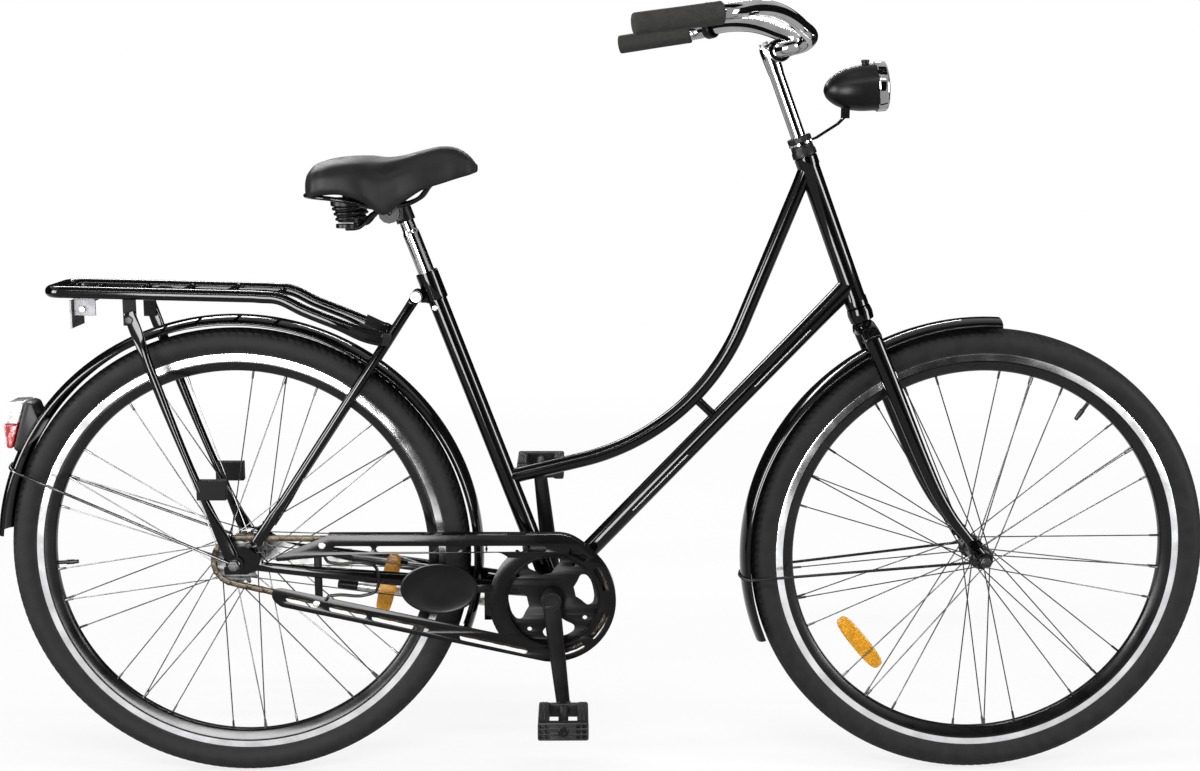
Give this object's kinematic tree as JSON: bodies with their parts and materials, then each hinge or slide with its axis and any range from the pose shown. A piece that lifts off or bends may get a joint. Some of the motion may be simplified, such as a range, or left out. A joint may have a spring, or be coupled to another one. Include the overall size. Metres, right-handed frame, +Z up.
{
  "type": "dutch city bike",
  "caption": "Low step-through city bicycle with swept-back bar, open chain case, rear rack, sprung saddle and side stand.",
  "frame": {"origin": "on the ground, in the middle plane, under the middle of the bike's length", "axes": "+X towards the front wheel, +Y to the rider's left, +Z up"},
  "size_m": [1.8817, 0.6374, 1.215],
  "materials": {
    "frame": "gloss black enamel",
    "fender": "gloss black enamel on sheet steel",
    "case_steel": "satin black",
    "chrome": "polished chrome plate",
    "steel": "zinc plated",
    "dark_steel": "blackened",
    "chain_steel": "oiled bronze-grey",
    "crank_alloy": "satin black anodised",
    "rim": "black with a machined brake track",
    "tyre": "matte",
    "grip_rubber": "matte speckled",
    "pedal_plastic": "grained",
    "lamp_plastic": "black",
    "amber_plastic": "prismatic amber",
    "red_plastic": "prismatic red",
    "clear_plastic": "clear fluted",
    "saddle_cover": "satin black synthetic leather",
    "saddle_pan": "moulded"
  },
  "bodies": {
    "frame": {"head_tube": "frame", "down_tube": "frame", "top_tube": "frame", "seat_tube": "frame", "seat_bolt": "steel", "bottom_bracket_shell": "frame", "right_chainstay": "frame", "left_chainstay": "frame", "right_seat_stay": "frame", "left_seat_stay": "frame", "rear_axle": "steel", "lower_headset": "frame", "rear_fender": "fender", "rear_fender_stay": "steel", "chain": "chain_steel", "chain_case": "case_steel", "brake_arm": "steel", "rack": "frame", "right_rack_leg": "frame", "left_rack_leg": "frame", "tail_reflector": "dark_steel", "tail_lamp_housing": "lamp_plastic", "tail_lamp_lens": "red_plastic", "kickstand_bracket": "frame"},
    "steering": {"fork": "frame", "upper_headset": "dark_steel", "front_fender": "fender", "front_fender_stay": "dark_steel", "front_axle": "steel", "lamp_bracket": "chrome"},
    "bar": {"stem": "chrome", "handlebar": "chrome", "right_grip": "grip_rubber", "left_grip": "grip_rubber", "bell": "chrome"},
    "bell_thumb": {"bell_lever": "steel"},
    "lamp": {"lamp_housing": "lamp_plastic", "lamp_lens": "clear_plastic"},
    "front_wheel": {"front_tyre": "tyre", "front_rim": "rim", "front_hub_and_spokes": "steel", "front_reflector": "amber_plastic"},
    "rear_wheel": {"rear_tyre": "tyre", "rear_rim": "rim", "rear_hub_and_spokes": "steel", "rear_reflector": "amber_plastic"},
    "sprocket": {"rear_sprocket": "steel"},
    "cranks": {"chainring": "dark_steel", "crank_axle": "steel", "right_crank": "crank_alloy", "left_crank": "crank_alloy"},
    "right_foot": {"right_pedal": "pedal_plastic"},
    "left_foot": {"left_pedal": "pedal_plastic"},
    "side_stand": {"kickstand_leg": "steel"},
    "post": {"seat_post": "chrome"},
    "saddle": {"saddle_rails": "steel", "right_saddle_spring": "steel", "left_saddle_spring": "steel", "saddle_cushion": "saddle_cover", "saddle_base": "saddle_pan"}
  },
  "joints": [
    {"name": "steering_turn", "type": "hinge", "parent": "frame", "child": "steering", "pos_m": [0.34379, 0, 0.85778], "axis": [-0.3551, 0, 0.9348], "range_deg": [-75, 75]},
    {"name": "stem_height", "type": "slide", "parent": "steering", "child": "bar", "axis": [-0.3551, 0, 0.9348], "range_m": [-0.03, 0.04]},
    {"name": "bell_ring", "type": "hinge", "parent": "bar", "child": "bell_thumb", "pos_m": [0.1758, 0.2474, 1.1892], "axis": [0, 0, 1], "range_deg": [0, 25], "stiffness_Nm_per_rad": 0.3},
    {"name": "lamp_tilt", "type": "hinge", "parent": "steering", "child": "lamp", "pos_m": [0.3588, 0, 1.034], "axis": [0, 1, 0], "range_deg": [-10, 12]},
    {"name": "front_wheel_spin", "type": "hinge", "parent": "steering", "child": "front_wheel", "pos_m": [0.58575, 0, 0.356], "axis": [0, 1, 0], "continuous": true},
    {"name": "rear_wheel_spin", "type": "hinge", "parent": "frame", "child": "rear_wheel", "pos_m": [-0.56525, 0, 0.356], "axis": [0, 1, 0], "continuous": true},
    {"name": "crank_spin", "type": "hinge", "parent": "frame", "child": "cranks", "pos_m": [-0.08325, 0, 0.298], "axis": [0, 1, 0], "continuous": true, "deforming": ["chain"]},
    {"name": "sprocket_spin", "type": "hinge", "parent": "frame", "child": "sprocket", "pos_m": [-0.56525, 0, 0.356], "axis": [0, 1, 0], "continuous": true},
    {"name": "right_pedal_spin", "type": "hinge", "parent": "cranks", "child": "right_foot", "pos_m": [-0.0643, -0.127, 0.12906], "axis": [0, 1, 0], "continuous": true},
    {"name": "left_pedal_spin", "type": "hinge", "parent": "cranks", "child": "left_foot", "pos_m": [-0.1022, 0.127, 0.46694], "axis": [0, 1, 0], "continuous": true},
    {"name": "stand_fold", "type": "hinge", "parent": "frame", "child": "side_stand", "pos_m": [-0.18025, 0.04, 0.262], "axis": [0, -1, 0], "range_deg": [0, 106]},
    {"name": "seat_height", "type": "slide", "parent": "frame", "child": "post", "axis": [-0.3543, 0, 0.9351], "range_m": [-0.01, 0.12]},
    {"name": "saddle_tilt", "type": "hinge", "parent": "post", "child": "saddle", "pos_m": [-0.32425, 0, 0.888], "axis": [0, 1, 0], "range_deg": [-12, 12]}
  ],
  "couplings": [
    {"joint": "sprocket_spin", "follows": "crank_spin", "ratio": 2.4444}
  ]
}
